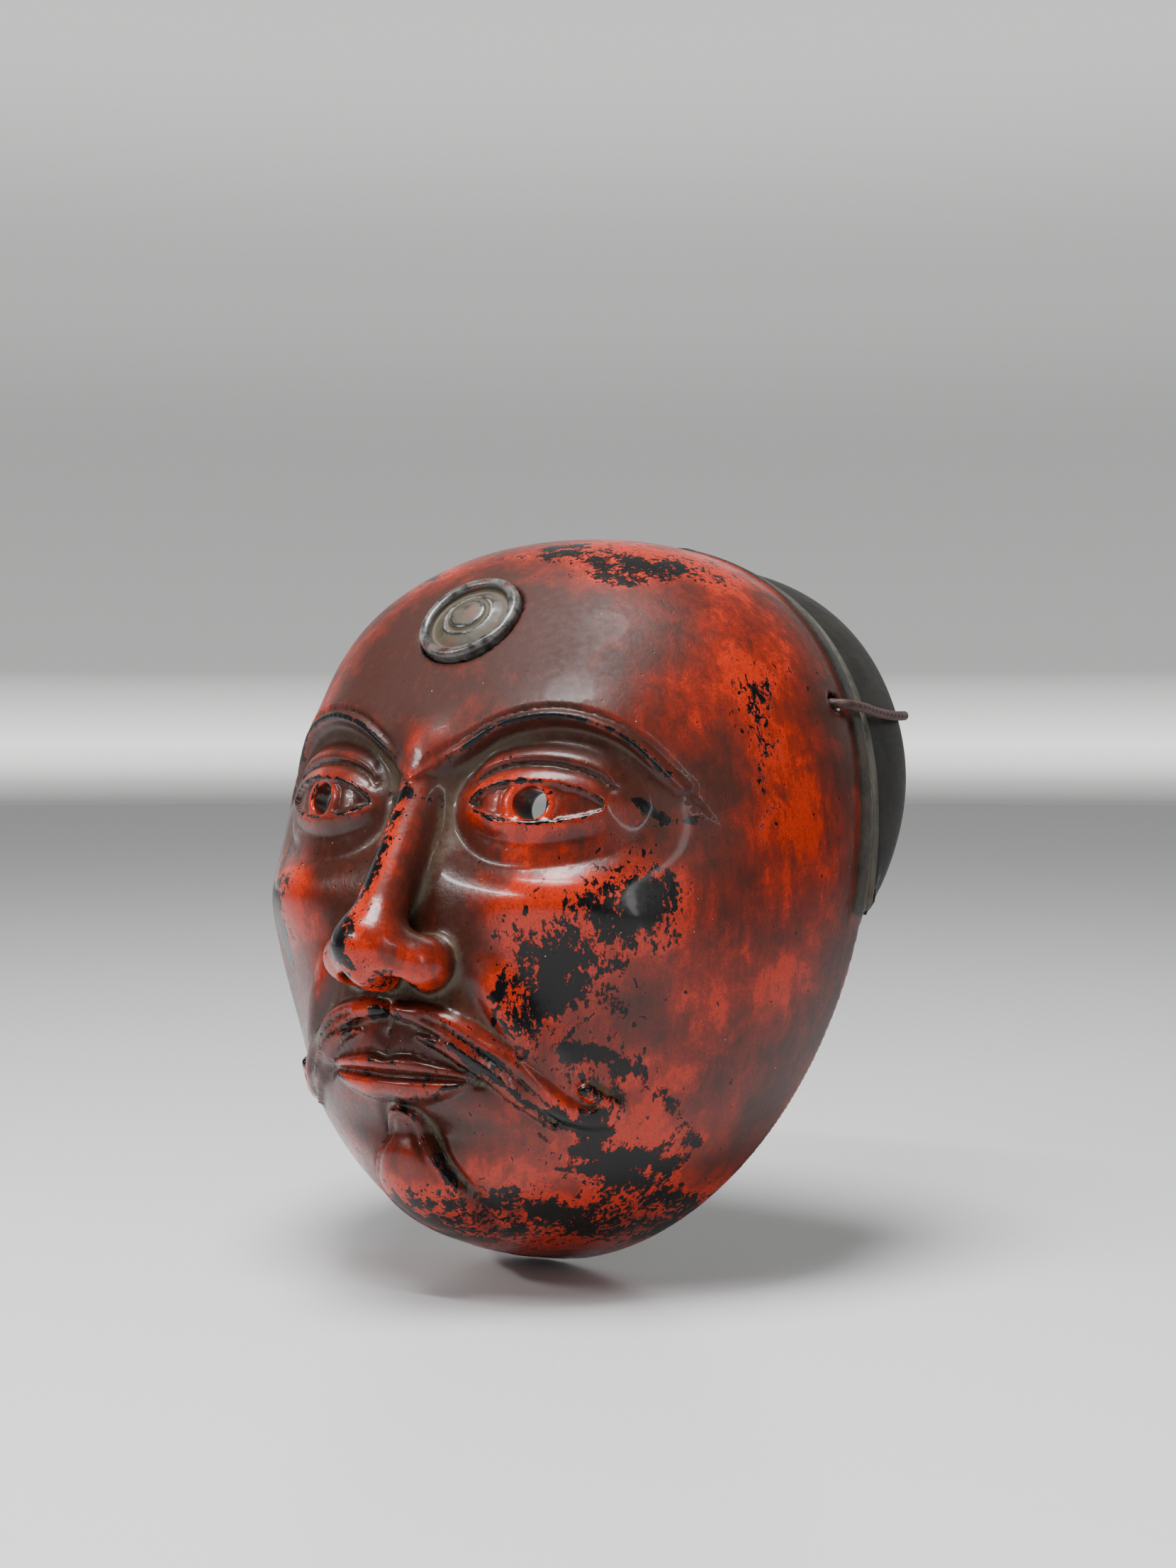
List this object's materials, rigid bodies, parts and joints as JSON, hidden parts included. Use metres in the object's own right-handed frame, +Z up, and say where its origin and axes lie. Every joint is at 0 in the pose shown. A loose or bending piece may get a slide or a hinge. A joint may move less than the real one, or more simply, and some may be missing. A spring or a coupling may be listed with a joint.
{
  "type": "noh mask",
  "caption": "Carved wooden stage mask with a hollow back, pierced eyes and nostrils, a black crown band, a brow boss, face pads and a hanging cord.",
  "frame": {"origin": "middle of the back opening, in the plane of the shell's rim, where a wearer's face goes in", "axes": "+Z up, -Y the way the mask looks, +X to the mask's own left; the mask leans back from upright by 12 degrees about X, as it is displayed"},
  "size_m": [0.1788, 0.1715, 0.2061],
  "materials": {
    "red_lacquer": "worn semi-gloss red lacquer over black",
    "black_lacquer": "satin black lacquer, dusty at its edge",
    "bamboo": "raw split bamboo",
    "braided_cord": "maroon braided silk",
    "pad_cloth": "unbleached cotton"
  },
  "bodies": {
    "root": {"face_shell": "red_lacquer", "crown_band": "black_lacquer", "brow_boss": "red_lacquer", "bamboo_pegs": "bamboo", "hanging_cord": "braided_cord", "left_stopper_knot": "braided_cord", "right_stopper_knot": "braided_cord", "brow_pad": "pad_cloth", "left_cheek_pad": "pad_cloth", "right_cheek_pad": "pad_cloth"}
  },
  "joints": []
}
